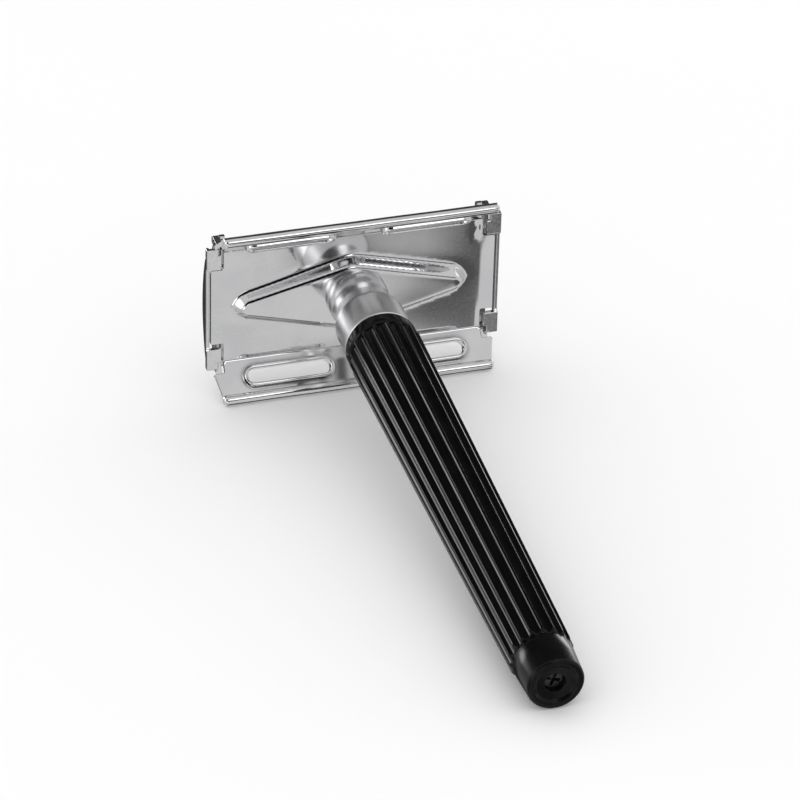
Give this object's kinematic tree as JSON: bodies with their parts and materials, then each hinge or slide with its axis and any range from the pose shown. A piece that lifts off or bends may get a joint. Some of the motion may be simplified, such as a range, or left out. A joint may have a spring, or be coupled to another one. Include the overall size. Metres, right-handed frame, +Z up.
{
  "type": "twist-to-open safety razor",
  "caption": "Double-edge safety razor: chrome head with hinged doors over a guard plate, fluted black handle, and a knob that opens the doors.",
  "frame": {"origin": "centre of the footprint on the surface that the razor lies on", "axes": "+X along the head, +Y from the knob towards the head, +Z up; the razor lies on its side on one guard bar and the end of the grip"},
  "size_m": [0.0432, 0.1014, 0.0277],
  "materials": {
    "plate_chrome": "bright plated stamped sheet",
    "cap_chrome": "bright plated stamped sheet",
    "door_chrome": "bright plated",
    "neck_satin": "satin plated",
    "black_plastic": "glossy moulded black",
    "steel_parts": "plain drawn steel",
    "brass_parts": "turned brass",
    "platform_steel": "satin plated"
  },
  "bodies": {
    "handle_and_guard": {"guard_plate": "plate_chrome", "end_cap_left": "cap_chrome", "end_cap_right": "cap_chrome", "hinge_lugs": "cap_chrome", "hinge_pins": "steel_parts", "neck": "neck_satin", "collar_ring": "black_plastic", "grip": "black_plastic", "handle_tube": "steel_parts", "rod_guide_bush": "brass_parts", "knob_bush": "brass_parts", "friction_washer": "steel_parts"},
    "knob": {"knob": "black_plastic", "knob_insert": "brass_parts", "knob_screw": "steel_parts", "retaining_clip": "steel_parts"},
    "lifter": {"drive_rod": "steel_parts", "lifter_bar": "platform_steel", "lifter_crosshead_left": "platform_steel", "lifter_crosshead_right": "platform_steel", "lifter_studs": "steel_parts", "blade_platform": "platform_steel", "rod_rivet": "brass_parts"},
    "door_front": {"door_front": "door_chrome"},
    "door_rear": {"door_rear": "door_chrome"}
  },
  "joints": [
    {"name": "knob_spin", "type": "hinge", "parent": "handle_and_guard", "child": "knob", "pos_m": [0, -0.04733, 0.00397], "axis": [0, -0.9939, -0.1105], "range_deg": [0, 540]},
    {"name": "lifter_slide", "type": "slide", "parent": "handle_and_guard", "child": "lifter", "axis": [0, 0.9939, 0.1105], "range_m": [0, 0.0033]},
    {"name": "door_front_hinge", "type": "hinge", "parent": "handle_and_guard", "child": "door_front", "pos_m": [0, 0.04587, 0.0245], "axis": [1, 0, 0], "range_deg": [0, 70]},
    {"name": "door_rear_hinge", "type": "hinge", "parent": "handle_and_guard", "child": "door_rear", "pos_m": [0, 0.04811, 0.00442], "axis": [-1, 0, 0], "range_deg": [0, 70]}
  ],
  "couplings": [
    {"joint": "knob_spin", "follows": "lifter_slide", "rad_per_m": 2856},
    {"joint": "door_front_hinge", "follows": "lifter_slide", "rad_per_m": 370.22},
    {"joint": "door_rear_hinge", "follows": "lifter_slide", "rad_per_m": 370.22}
  ]
}
